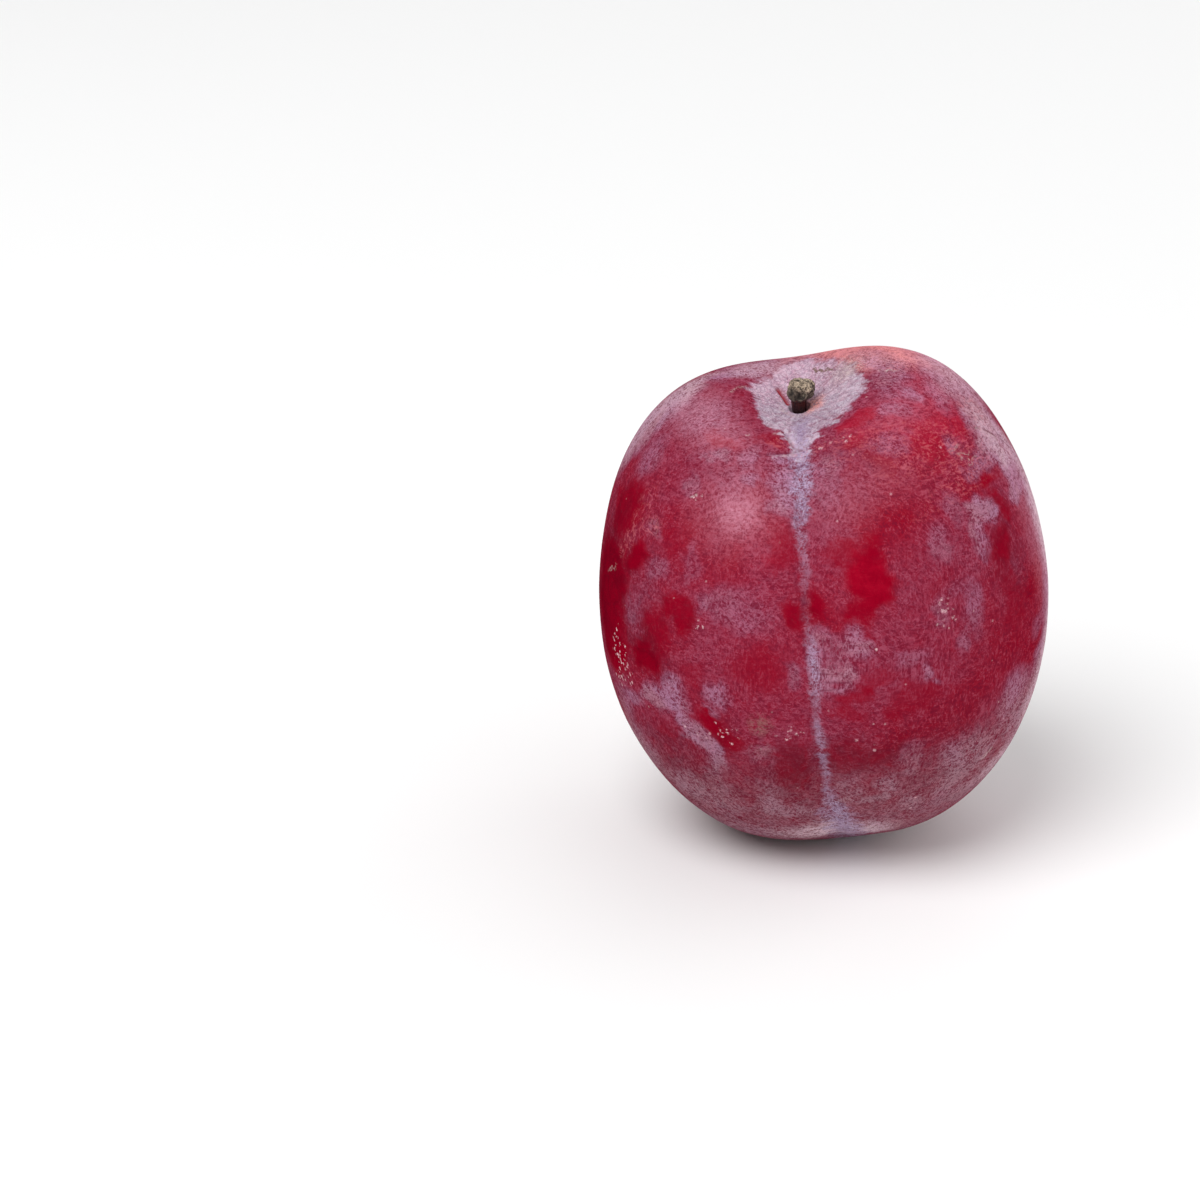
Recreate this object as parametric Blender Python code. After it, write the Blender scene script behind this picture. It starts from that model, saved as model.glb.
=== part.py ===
"""A red plum resting on a level surface: the fruit, grown in one piece, and its short woody stem.

The fruit is shaped in millimetres about its own centre, with z running from the blossom end to the stem
and the suture (the seam between the two cheeks) facing -y. It is then leaned to the way it lies, and the
small flat spot it lies on is pressed into its underside. The world origin is the middle of that spot.
"""

import math

import bmesh
import bpy
import numpy as np
from mathutils import Matrix, Vector

MM = 0.001

# The fruit's body: a superellipsoid, flattened at both ends
HALF_WIDTH = 26.0
HALF_DEPTH = 27.0
HALF_HEIGHT = 30.4
SQUARENESS = 2.05  # 2 is an ellipsoid, and more is squarer
FLATTENED_TOP = 0.136  # as a share of the radius
FLATTENED_BOTTOM = 0.058
FLATTENED_SPREAD = 0.45  # sideways, as the sine of an angle

# Low swellings, and a flank that grew against a neighbour: degrees round from the suture towards +x,
# degrees above the equator, and height as a share of the radius
SWELLINGS = (
    (134, 49, 0.040),
    (39, -52, 0.018),
    (-35, -54, 0.025),
    (-100, 12, -0.044),
)
SWELLING_SPREAD = 26.4  # degrees

# The stem cavity, which reaches further towards the suture, and the socket that the stem grows from
CAVITY_DEPTH = 3.2
CAVITY_RADIUS = 5.6
CAVITY_REACH = 1.5  # times as far towards the suture
SOCKET_DEPTH = 1.3
SOCKET_RADIUS = 1.35
SOCKET_WALL = 0.5

# The suture: a fine groove in a shallow valley, which opens into the cavity and fades before the
# blossom end
GROOVE_DEPTH = 0.35
GROOVE_HALF_WIDTH = 1.3
VALLEY_DEPTH = 0.65
VALLEY_HALF_WIDTH = 4.6
NECK_DEPTH = 0.7  # more, where it opens into the cavity
NECK_TOP = (0.9, 0.99)  # the neck and the suture end over these sines of the angle from the equator
NECK_BOTTOM = (0.5, 0.85)
SUTURE_END = (0.86, 0.93)

# How the fruit lies, in degrees, and how deep its flat spot is pressed
TURN = -5.2
LEAN_FORWARD = 8.0
LEAN_LEFT = -7.4
PRESSED_DEPTH = 0.42

# The stem, from its foot in the socket to the top of its knob
STEM_GAP = 0.3
STEM_RADIUS = 0.93
STEM_LENGTH = 4.5
STEM_LEAN = 2.0  # degrees to the right of the fruit's axis
KNOB_RADIUS = 1.52
KNOB_HEIGHT = 2.25
KNOB_SQUARENESS = 2.8
KNOB_OFFSET = 0.22
KNOB_RIDGES = 7
RIDGE_HEIGHT = 0.10
RIDGE_TWIST = 0.45  # radians from the knob's middle to its top
LUMPS = 3
LUMP_HEIGHT = 0.05

# The meshes, as spheres of columns and rows, closer beside the suture and round the stem
FRUIT_COLUMNS, FRUIT_ROWS = 84, 58
STEM_COLUMNS, STEM_ROWS = 28, 28
CLOSEST_COLUMNS = 0.55  # spacing beside the suture, as a share of even spacing
CLOSEST_ROWS = 0.30  # spacing at the stem


def smooth_step(value, low, high):
    share = np.clip((value - low) / (high - low), 0, 1)
    return share * share * (3 - 2 * share)


def swelling(direction, around, above):
    """1 at a place on the fruit, falling to 0 away from it."""
    around, above = math.radians(around), math.radians(above)
    place = (
        math.cos(above) * math.sin(around),
        -math.cos(above) * math.cos(around),
        math.sin(above),
    )
    angle = np.degrees(np.arccos(np.clip(direction @ np.array(place), -1, 1)))
    return np.exp(-((angle / SWELLING_SPREAD) ** 2))


def body_radius(direction):
    """The fruit's radius in a direction, before its cavity and suture."""
    sides = np.abs(direction) / (HALF_WIDTH, HALF_DEPTH, HALF_HEIGHT)
    radius = (sides**SQUARENESS).sum(axis=-1) ** (-1 / SQUARENESS)
    top = np.clip(direction[..., 2], 0, 1)
    bottom = np.clip(-direction[..., 2], 0, 1)
    flattening = FLATTENED_TOP * top**2 + FLATTENED_BOTTOM * bottom**2
    share = 1 - flattening * np.exp(-((direction[..., 0] / FLATTENED_SPREAD) ** 2))
    for around, above, height in SWELLINGS:
        share = share + height * swelling(direction, around, above)
    return radius * share


def suture_depth(direction, x):
    """How far the suture presses the skin in, at x to one side of it."""
    height = direction[..., 2]
    neck = smooth_step(height, *NECK_BOTTOM) * (1 - smooth_step(height, *NECK_TOP))
    groove = GROOVE_DEPTH * np.exp(-((x / GROOVE_HALF_WIDTH) ** 2))
    valley = (VALLEY_DEPTH + NECK_DEPTH * neck) * np.exp(-((x / VALLEY_HALF_WIDTH) ** 2))
    fade = 1 - smooth_step(-height, *SUTURE_END)
    return (groove + valley) * fade * np.sqrt(np.clip(-direction[..., 1], 0, 1))


def fruit_skin(around, down):
    """Points of the skin, by the angle round from the suture and the angle down from the stem."""
    direction = np.stack(
        [np.sin(down) * np.sin(around), -np.sin(down) * np.cos(around), np.cos(down)], axis=-1
    )
    radius = body_radius(direction)
    radius = radius - suture_depth(direction, radius * direction[..., 0])
    points = direction * radius[..., None]
    x, y = points[..., 0], points[..., 1]
    reach = np.where(y < 0, CAVITY_RADIUS * CAVITY_REACH, CAVITY_RADIUS)
    cavity = CAVITY_DEPTH * np.exp(-((x / CAVITY_RADIUS) ** 2) - (y / reach) ** 2)
    past_socket = smooth_step(np.hypot(x, y), SOCKET_RADIUS, SOCKET_RADIUS + SOCKET_WALL)
    socket = SOCKET_DEPTH * (1 - past_socket)
    points[..., 2] -= np.where(direction[..., 2] > 0, cavity + socket, 0)
    return points


def lie():
    """The fruit's turn and lean as it rests."""
    return (
        Matrix.Rotation(math.radians(LEAN_LEFT), 3, "Y")
        @ Matrix.Rotation(math.radians(LEAN_FORWARD), 3, "X")
        @ Matrix.Rotation(math.radians(TURN), 3, "Z")
    )


def stem_bark(around, down):
    """Points of the stem over its foot: a slim neck, and a ridged knob that hangs to one side."""
    height = STEM_LENGTH * (1 + np.cos(down)) / 2
    knob_middle = STEM_LENGTH - KNOB_HEIGHT / 2
    rise = (height - knob_middle) / (KNOB_HEIGHT / 2)
    knob = np.clip(1 - np.abs(rise) ** KNOB_SQUARENESS, 0, 1) ** (1 / KNOB_SQUARENESS)
    neck = np.where(rise < 0, STEM_RADIUS, 0) * np.sin(down) ** 0.1
    on_knob = smooth_step(rise, -1.1, -0.3)
    ridges = RIDGE_HEIGHT * np.cos(KNOB_RIDGES * (around + RIDGE_TWIST * rise))
    lumps = LUMP_HEIGHT * np.cos(LUMPS * around + 1)
    radius = np.maximum(KNOB_RADIUS * knob, neck) + (ridges + lumps) * on_knob * knob
    x = KNOB_OFFSET * on_knob + radius * np.sin(around)
    return np.stack([x, -radius * np.cos(around), height], axis=-1)


def sphere(columns, rows):
    """A sphere's mesh, with the angle round and the angle down of each of its points."""
    shape = bmesh.new()
    bmesh.ops.create_uvsphere(shape, u_segments=columns, v_segments=rows, radius=1)
    points = np.array([tuple(vert.co) for vert in shape.verts])
    around = np.arctan2(points[:, 0], -points[:, 1])
    down = np.arccos(np.clip(points[:, 2], -1, 1))
    return shape, around, down


def add_piece(name, shape, points, material, parent):
    """Moves the sphere's points, in millimetres, and makes it an object."""
    for vert, point in zip(shape.verts, points):
        vert.co = Vector(point) * MM
    mesh = bpy.data.meshes.new(name)
    shape.to_mesh(mesh)
    shape.free()
    mesh.shade_smooth()
    mesh.materials.append(material)
    piece = bpy.data.objects.new(name, mesh)
    piece.parent = parent
    bpy.context.scene.collection.objects.link(piece)
    return piece


def plain_material(name, colour, roughness):
    material = bpy.data.materials.new(name)
    material.use_nodes = True
    shader = material.node_tree.nodes["Principled BSDF"]
    shader.inputs["Base Color"].default_value = (*colour, 1)
    shader.inputs["Roughness"].default_value = roughness
    shader.inputs["Metallic"].default_value = 0
    material.diffuse_color = (*colour, 1)
    return material


def skin_material():
    return plain_material("plum_skin", (0.38, 0.018, 0.045), 0.5)


def bark_material():
    return plain_material("stem_bark", (0.13, 0.085, 0.05), 0.8)


def add_fruit(parent):
    """The fruit with its flat spot. Returns the bottom of its socket."""
    shape, around, down = sphere(FRUIT_COLUMNS, FRUIT_ROWS)
    share_round = around / np.pi
    share_down = down / np.pi
    around = around * (CLOSEST_COLUMNS + (1 - CLOSEST_COLUMNS) * share_round**2)
    down = down * (CLOSEST_ROWS + (1 - CLOSEST_ROWS) * share_down**0.9)
    points = fruit_skin(around, down) @ np.array(lie()).T
    level = points[:, 2].min() + PRESSED_DEPTH
    spot = points[points[:, 2] < level]
    middle = (spot.min(axis=0) + spot.max(axis=0)) / 2
    middle[2] = level
    points[:, 2] = np.maximum(points[:, 2], level)
    points -= middle
    add_piece("fruit", shape, points, skin_material(), parent)
    return Vector(points[down.argmin()])


def add_stem(parent, socket):
    shape, around, down = sphere(STEM_COLUMNS, STEM_ROWS)
    stem = add_piece("stem", shape, stem_bark(around, down), bark_material(), parent)
    axis = lie() @ Matrix.Rotation(math.radians(STEM_LEAN), 3, "Y")
    stem.location = (socket + axis @ Vector((0, 0, STEM_GAP))) * MM
    stem.rotation_euler = axis.to_euler()


def main():
    for piece in list(bpy.data.objects):
        bpy.data.objects.remove(piece)
    plum = bpy.data.objects.new("plum", None)
    bpy.context.scene.collection.objects.link(plum)
    socket = add_fruit(plum)
    add_stem(plum, socket)


main()
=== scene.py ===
"""The looks of the plum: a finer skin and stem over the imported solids, with bloom, bark and marks."""

import math
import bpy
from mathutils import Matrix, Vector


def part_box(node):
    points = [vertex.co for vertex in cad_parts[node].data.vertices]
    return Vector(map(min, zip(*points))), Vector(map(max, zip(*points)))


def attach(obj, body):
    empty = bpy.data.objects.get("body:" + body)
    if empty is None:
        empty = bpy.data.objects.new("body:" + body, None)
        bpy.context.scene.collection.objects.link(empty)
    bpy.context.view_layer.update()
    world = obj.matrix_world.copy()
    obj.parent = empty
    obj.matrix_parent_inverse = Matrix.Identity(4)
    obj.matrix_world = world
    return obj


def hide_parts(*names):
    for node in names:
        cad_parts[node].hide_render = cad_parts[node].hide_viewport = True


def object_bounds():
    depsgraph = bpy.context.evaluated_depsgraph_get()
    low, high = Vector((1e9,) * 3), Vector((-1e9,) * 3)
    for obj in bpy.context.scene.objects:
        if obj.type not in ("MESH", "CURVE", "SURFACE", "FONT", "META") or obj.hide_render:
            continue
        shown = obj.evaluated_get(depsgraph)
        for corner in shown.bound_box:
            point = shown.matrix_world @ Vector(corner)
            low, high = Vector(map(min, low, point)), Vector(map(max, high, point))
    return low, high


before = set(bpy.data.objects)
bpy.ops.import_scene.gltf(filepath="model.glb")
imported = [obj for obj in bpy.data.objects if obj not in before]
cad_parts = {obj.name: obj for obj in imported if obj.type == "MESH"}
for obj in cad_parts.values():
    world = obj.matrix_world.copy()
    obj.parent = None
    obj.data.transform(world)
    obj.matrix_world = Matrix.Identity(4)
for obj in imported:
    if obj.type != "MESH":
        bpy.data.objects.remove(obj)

from types import SimpleNamespace

import bmesh
import bpy
import numpy as np
from mathutils import Matrix, Vector

CAD_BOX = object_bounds()
MM = 0.001

# ------ the form, as in part.py (mm, degrees)

HALF_WIDTH = 26.0
HALF_DEPTH = 27.0
HALF_HEIGHT = 30.4
SQUARENESS = 2.05
FLATTENED_TOP = 0.136
FLATTENED_BOTTOM = 0.058
FLATTENED_SPREAD = 0.45
SWELLINGS = (
    (134, 49, 0.040),
    (39, -52, 0.018),
    (-35, -54, 0.025),
    (-100, 12, -0.044),
)
SWELLING_SPREAD = 26.4
CAVITY_DEPTH = 3.2
CAVITY_RADIUS = 5.6
CAVITY_REACH = 1.5
SOCKET_DEPTH = 1.3
SOCKET_RADIUS = 0.92  # closer to the stem than the solid's socket, which leaves a gap
SOCKET_WALL = 0.24
GROOVE_DEPTH = 0.35
GROOVE_HALF_WIDTH = 1.3
VALLEY_DEPTH = 0.65
VALLEY_HALF_WIDTH = 4.6
NECK_DEPTH = 0.7
NECK_TOP = (0.9, 0.99)
NECK_BOTTOM = (0.5, 0.85)
SUTURE_END = (0.86, 0.93)
TURN = -5.2
LEAN_FORWARD = 8.0
LEAN_LEFT = -7.4
STEM_RADIUS = 0.93
STEM_LENGTH = 4.5
STEM_LEAN = 2.0
KNOB_RADIUS = 1.52
KNOB_HEIGHT = 2.55
KNOB_SQUARENESS = 2.8
KNOB_OFFSET = 0.22

ARC_MM = 0.475  # of skin in a degree
TOP_ABOVE = 10  # the fruit's middle, where the marks round the stem can be

FRUIT_COLUMNS, FRUIT_ROWS = 320, 300
FRONT_SPACING, FRONT_GROWTH = 0.62, 0.38  # of the columns at the suture, and what they gain by the back
TOP_SPACING, TOP_GROWTH = 0.45, 0.55  # of the rows at the top, and what they gain by the bottom
STEM_COLUMNS, STEM_ROWS = 120, 160

STEM_FOOT, STEM_FLARE = 0.92, 0.08  # share of the stem's radius at its foot, and what it gains above
KNOB_START = (-1.1, -0.3)
BARK_RIDGES = 0.10
BARK_PLATES = 0.20
BARK_ROUGH = 0.09
NECK_FIBRES = 0.030
BARK_SINK = 0.05

# Fine relief of the fruit's skin
RAY_HEIGHT = 0.22
WRINKLE_HEIGHT = 0.07
WAVE_HEIGHT = 0.04
CREASE_DEPTH = 0.20
SLIT_DEPTH = 0.40
SKIN_SINK = 0.10

# ------ marks on the skin
# Patches: degrees round from the suture towards +x, degrees above the equator, half width and half
# height in degrees of arc, turn in degrees (positive raises the right-hand end), and strength.

# How much wax covers the red, from a thin haze to a full lilac bloom
WAX_PATCHES = (
    # left of the upper suture
    (-8, 63, 2.6, 1.3, 20, 0.5), (-6, 57, 3.2, 4, 0, 0.34),
    (-5, 49.5, 3.4, 3, 0, 0.22), (-3, 53, 2.2, 6, 0, 0.38),
    (-22, 61, 1.6, 4, 0, 0.2), (-17.5, 55, 2, 2, 0, 0.26),
    (-25, 52, 4, 5, 0, 0.08), (-33, 58.3, 2.4, 1.2, 0, 0.36),
    (-38, 56.2, 2, 1, 10, 0.24), (-42, 49.5, 2.2, 2.2, 0, 0.18),
    (-31, 33, 2.2, 4, 0, 0.1), (-25.5, 23.5, 2.4, 2.2, 0, 0.12),
    (-18, 24, 9, 5, 0, 0.16), (-42, 28.5, 4, 2, 0, 0.15),
    (-49, 17, 3, 4.6, -8, 0.11), (-47, 38.5, 3.2, 2.4, -30, 0.14),
    # These four rows, along the upper left and back edge, are partly real bloom and partly painted rim
    # reflection
    (-66, 66, 8, 7, 0, 0.16), (-95, 52, 9, 13, 0, 0.7),
    (-84, 50, 3, 7, 0, 0.3), (-102, 63, 7, 5, 0, 0.5),
    (-125, 69, 6, 4, 0, 0.45), (-147, 72, 6, 5, 0, 0.55),
    (-175, 68, 6, 4, 0, 0.3), (-68, 52, 5, 5, 0, 0.2),
    # left, below the middle: a patch that trails away down to the right
    (-23.5, 2.6, 3.8, 3.4, 0, 0.32), (-25.5, -1.8, 2, 0.9, -20, 0.26),
    (-38, -2.4, 5.4, 3.2, 6, 0.54), (-44, -4.8, 4.8, 2, 12, 0.48),
    (-38, 1.6, 3, 2, 0, 0.28), (-52, -8.5, 5, 2, 15, 0.3),
    (-60, -12, 6, 4, 20, 0.28), (-34, -8, 2, 3.2, 0, 0.5),
    (-31.5, -11, 2.8, 3.6, 20, 0.66), (-28, -12.5, 2.8, 2.4, -25, 0.74),
    (-27.5, -17, 2.2, 4, 0, 0.4), (-28, -23, 3.6, 4, 0, 0.16),
    (-37, -27, 4.5, 3.6, 10, 0.22), (-45, -31, 6, 4, 20, 0.26),
    (-15, -13, 3.2, 2, 0, 0.15), (-15, -29, 3.2, 7, 0, 0.18),
    (-16, -34, 3.4, 3.4, 0, 0.24), (-9, -36, 4, 2.6, 0, 0.24),
    # right of the suture, round a clean middle
    (1.6, 10, 1.9, 7, 0, 0.36), (5, 8.2, 4.6, 1.4, 0, 0.36),
    (9.5, 8.2, 2, 2.8, 0, 0.34), (11.8, 15.2, 3, 3.8, 20, 0.33),
    (6.6, 12.5, 3.4, 4.4, 0, 0.2), (6, 4.6, 4.6, 1, 5, 0.3),
    (3, 17, 2.6, 2.4, 0, 0.2), (-4.5, 7, 1.6, 3.6, 0, 0.22),
    (8, 53, 3.6, 5, 0, 0.14), (12, 58, 4, 3, 0, 0.2),
    # right cheek
    (24, 8, 4, 3, 0, 0.14), (26.8, 2.6, 1.5, 2.2, 0, 0.26),
    (29.5, -0.6, 1.2, 0.8, 0, 0.26), (38.5, 31, 2.4, 4, -20, 0.17),
    (47, 37, 2.2, 4, 0, 0.15), (52.5, 31, 2.8, 4.4, 0, 0.34),
    (58.6, 31.5, 3.6, 2.7, 8, 0.72), (54.5, 34.5, 3, 1.8, 0, 0.34),
    (52, 25, 2.6, 3.8, 0, 0.24), (37, 20, 4.4, 2.6, 0, 0.08),
    (32.5, 16.5, 2.2, 3.2, 0, 0.18), (43, 14, 3.2, 6, 0, 0.2),
    (38.5, 7, 2.2, 2.8, 0, 0.2), (43, 56.5, 4.4, 2.6, -25, 0.17),
    (55, 64, 3.6, 2.6, 0, 0.2),
    # right shoulder
    (59, 48.5, 2.2, 2.2, 0, 0.28), (62, 42, 4.2, 2.4, 0, 0.28),
    (70, 42, 3.6, 2.6, 0, 0.28), (80, 41.5, 4.2, 4.4, -20, 0.88),
    (80.5, 36, 3.6, 4.2, 0, 0.8), (82, 31, 5, 3.8, 0, 0.66),
    (77, 29, 3.4, 2.6, 0, 0.55), (87, 44, 4.4, 7, 35, 0.72),
    (81, 47.5, 3.4, 1.8, 0, 0.46), (94, 46, 6, 7, 0, 0.38),
    (106, 52, 9, 9, 0, 0.36), (92, 34, 5, 9, 0, 0.6),
    (108, 18, 10, 12, 20, 0.4), (110, -6, 12, 7, 20, 0.4),
    (118, 40, 8, 7, 0, 0.36), (122, 51, 9, 8, 0, 0.4),
    (86, 57, 8, 4, 0, 0.24), (112, 70, 9, 4, 0, 0.36),
    (88, 68, 8, 4, 0, 0.26), (74, 63, 2.4, 1.6, 0, 0.3),
    # These two rows, along the right edge, are partly real bloom and partly painted rim reflection
    (92, 14, 9, 16, 0, 0.72), (82, 8, 4, 12, 0, 0.24),
    (82, -6, 8, 9, 20, 0.6), (74, -17, 8, 8, 30, 0.6),
    # low on the right
    (6.5, -27, 2.8, 4.6, 0, 0.2), (15.5, -27, 2, 4.6, -8, 0.26),
    (12.5, -33, 4.2, 1.8, 14, 0.32), (5, -33, 3.4, 1.8, 0, 0.26),
    (22, -20, 3.4, 5, 0, 0.2), (33, -24, 2.4, 5, 18, 0.2),
    (37.5, -31.5, 3.2, 4.2, -30, 0.34), (31.5, -35, 2.6, 2.4, 0, 0.2),
    (47, -29, 3.6, 0.9, 15, 0.3), (22.5, -36, 3.2, 2.8, 0, 0.22),
    # These five rows thicken the bloom towards the right and bottom edges, partly real bloom and partly
    # painted rim reflection
    (57, -18, 7, 9, 20, 0.38), (66, -30, 9, 9, 20, 0.55),
    (50, -41, 10, 5, 0, 0.5), (70, -2, 4, 3, 0, 0.16),
    (8, -48, 8, 5, 0, 0.55), (40, -27, 9, 8, 0, 0.3),
    (47, -19, 9, 9, 0, 0.1), (-35, -33, 10, 7, 0, 0.22),
    (-30, -47, 12, 4.5, 0, 0.36), (-58, -25, 8, 8, 0, 0.34),
    # the back
    (-150, 20, 16, 8, 35, 0.24), (-165, -14, 9, 14, 10, 0.14),
    (148, 35, 18, 7, -25, 0.22), (130, 6, 9, 14, 15, 0.22),
    (165, -32, 18, 6, 20, 0.2), (-125, -25, 14, 6, -30, 0.22),
    (-105, 34, 10, 8, 25, 0.2), (110, -32, 14, 6, 10, 0.22),
    (-95, -5, 6, 12, 20, 0.16), (-172, 58, 12, 5, 0, 0.22),
)
# Where the wax is thick, dry and pale; along the right, upper left and bottom edges these are also a
# painted reflection, the pale sheen of the rim
PALE_WAX_AND_RIM_SHEEN_PATCHES = (
    (82, 42, 4, 5, -20, 0.44), (83, 36, 4, 4, 0, 0.44),
    (90, 44, 5, 7, 30, 0.38), (108, 50, 9, 9, 0, 0.3),
    (94, 32, 6, 9, 10, 0.45), (94, 12, 12, 13, 20, 0.95),
    (87, -8, 11, 9, 30, 0.74), (79, -19, 10, 7, 30, 0.64),
    (112, 2, 9, 6, 15, 0.3), (108, 26, 7, 7, 0, 0.24),
    (70, -28, 7, 8, 30, 0.5), (58, -38, 8, 5, 10, 0.45),
    (-97, 50, 8, 13, 0, 0.4), (-108, 63, 8, 5, 0, 0.45),
    (-147, 72, 8, 5, 0, 0.35), (2, -50, 13, 6, 0, 0.95),
    (-64, -24, 6, 10, 0, 0.16),
)
# Painted highlights and rim sheen: broad, soft and pale pink, with no edge of their own, over slightly
# paler bloom
PAINTED_HIGHLIGHT_PATCHES = (
    (-21, 48, 10, 11, 0, 0.25), (-20, 46, 4.5, 5, 0, 0.32),
    (13, 46, 7, 8, 0, 0.1), (-68, 66, 14, 7, 0, 0.36),
    (-36, 64, 10, 5, 0, 0.1), (26, 50, 12, 7, 0, 0.1),
    (62, 62, 12, 6, 0, 0.12), (84, 10, 10, 22, 0, 0.42),
    (112, 54, 14, 9, 0, 0.3),
)
# Where the wax was rubbed off and the clean red shows
RUBBED_PATCHES = (
    (17, 29.5, 5, 8.4, 0, 1), (15, 21, 4.6, 4.4, 0, 0.9),
    (12, 36, 6, 4, 0, 0.6), (4, 25, 2.6, 4, 0, 0.9),
    (-3.5, 22, 2, 4, 0, 0.9), (-64, 18, 13, 15, 0, 1),
    (-52, 30, 4, 5, 0, 1), (-66, 38, 7, 7, 0, 0.9),
    (-60, 6, 8, 9, 0, 1), (-46, 6, 5, 5, 0, 1),
    (-42, 14, 5, 6, 0, 0.8), (-34.5, 21, 5, 4, 0, 0.9),
    (-30, 6, 5, 4, 0, 0.5), (-27, -5, 4, 3.4, 0, 0.9),
    (-22, -9, 4, 4, 0, 0.8), (-13, 11, 6, 6, 0, 0.5),
    (-7, 38, 4.4, 6, 0, 0.6), (-38, 36, 4, 5, 0, 0.4),
    (9, 1.6, 7, 1.9, 8, 0.7), (15, 4, 5, 3, 0, 0.5),
    (6, -3, 4.6, 3, 0, 0.6), (24, -3, 8, 4, 0, 0.5),
    (8, -16, 8, 5, 0, 0.5), (-7, -18, 5, 10, 0, 0.6),
    (6.5, 13, 2, 3.4, 0, 0.5), (-38, 62.5, 5, 2.8, 0, 0.8),
    (-24, 68, 4, 2.6, 0, 0.6), (-12, 67.5, 3, 1.8, 0, 0.5),
    (28, 62, 4, 3, 0, 0.6), (36, 55, 3, 4, 0, 0.7),
    (42, 68, 5, 3.4, 0, 0.7), (60, 55, 6, 4, 0, 0.5),
    (52, 50, 4.4, 4, 0, 0.6), (72, 50, 4, 2.4, 0, 0.5),
    (67, 38, 4.4, 2.4, 0, 0.9), (66, 30, 3.4, 5, 0, 0.8),
    (58, 22, 5, 4.6, 0, 0.8), (56, 10, 5, 8, 0, 0.5),
    (-40, -12, 4.4, 3.4, 0, 0.4), (-140, -5, 14, 9, 0, 0.7),
    (140, 12, 12, 10, 0, 0.7), (-175, 35, 14, 8, 0, 0.7),
    (105, -12, 8, 12, 0, 0.5), (-110, 12, 8, 10, 0, 0.8),
)
# Where the red is darker, partly its own deeper red and partly painted shade down the left side, on the
# right cheek, underneath and low at the back; and where it is a brighter scarlet
DEEP_RED_AND_SHADE_PATCHES = (
    (-68, 20, 14, 24, 0, 0.7), (-48, 20, 9, 16, 0, 0.4),
    (-44, 6, 10, 9, 0, 0.4), (-33, 20, 7, 5, 0, 0.3),
    (60, 18, 10, 12, 0, 0.45), (66, 31, 6, 7, 0, 0.3),
    (7, -16, 14, 8, 0, 0.5), (-8, -22, 8, 13, 0, 0.5),
    (-38, -20, 14, 11, 0, 0.4), (30, -22, 14, 12, 0, 0.3),
    (0, 23, 5, 6, 0, 0.4), (14, 62, 5, 3, 0, 0.3),
    (36, 56, 6, 6, 0, 0.4), (-22, -8, 6, 7, 0, 0.3),
    (-170, -10, 40, 30, 0, 0.5), (120, -25, 30, 16, 0, 0.5),
)
BRIGHT_PATCHES = (
    (17, 30, 6, 9, 0, 0.5), (58, 57, 14, 9, 0, 0.8),
    (42, 66, 10, 6, 0, 0.7), (80, 60, 14, 8, 0, 0.7),
    (72, 50, 6, 4, 0, 0.6), (50, 45, 8, 6, 0, 0.3),
    # These two brighten the red under the painted highlight left of the upper suture
    (-12, 40, 8, 8, 0, 0.3), (-22, 48, 10, 10, 0, 0.2),
    (-38, 63, 9, 4, 0, 0.4), (30, 12, 8, 10, 0, 0.3),
    (14, 4, 9, 5, 0, 0.12),
)
# Where pale specks crowd, where the skin is scratched, and where it is smeared brown
SPECK_PATCHES = (
    (-57, 6, 3, 5, 0, 0.9), (-56, -3, 4.4, 4.4, 0, 1),
    (-57, 1, 4, 8, -5, 0.8), (33.5, 15, 4, 4.4, 0, 0.9),
    (15.8, 14.5, 1.6, 2.2, 0, 1), (-22, -7.5, 3.4, 4.6, 0, 0.9),
    (-7.5, -6.5, 4, 3, 0, 0.9), (-28.5, 18, 2.2, 1.4, 0, 0.8),
    (-35, 23, 2.4, 1.6, 0, 0.5), (-31, -11, 4, 4, 0, 0.5),
    (19, 65, 5, 1.8, 0, 0.7), (-37.5, 47.8, 1.6, 0.8, 0, 1),
    (10, -12, 6, 3, 0, 0.4), (24, -36, 4, 3, 0, 0.5),
)
SCRATCH_PATCHES = (
    (-58, 32, 2.6, 5, 0, 0.8), (-55, 40, 4, 6, 0, 0.5),
    (-47.5, 38.5, 3.4, 2.8, -30, 0.9), (62, 45, 12, 7, 0, 0.8),
    (50, 53, 12, 6, 0, 0.6), (30, 60, 12, 5, 0, 0.5),
    (16, 66, 7, 3, 0, 0.9), (48, 40, 10, 4, 0, 0.4),
    (-10, 68, 5, 2.6, 0, 0.8), (96, 68, 3, 2, 0, 0.9),
    (90, 48, 6, 5, 0, 0.6),
)
SMEAR_PATCHES = (
    (-13.6, -5.2, 2.7, 3.1, 0, 1), (-14.5, -12.5, 3.2, 2.2, 0, 0.4),
    (-47.5, 38.5, 2.8, 2.2, -30, 0.35), (4, -32.5, 2, 1.2, 0, 0.5),
)

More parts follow.
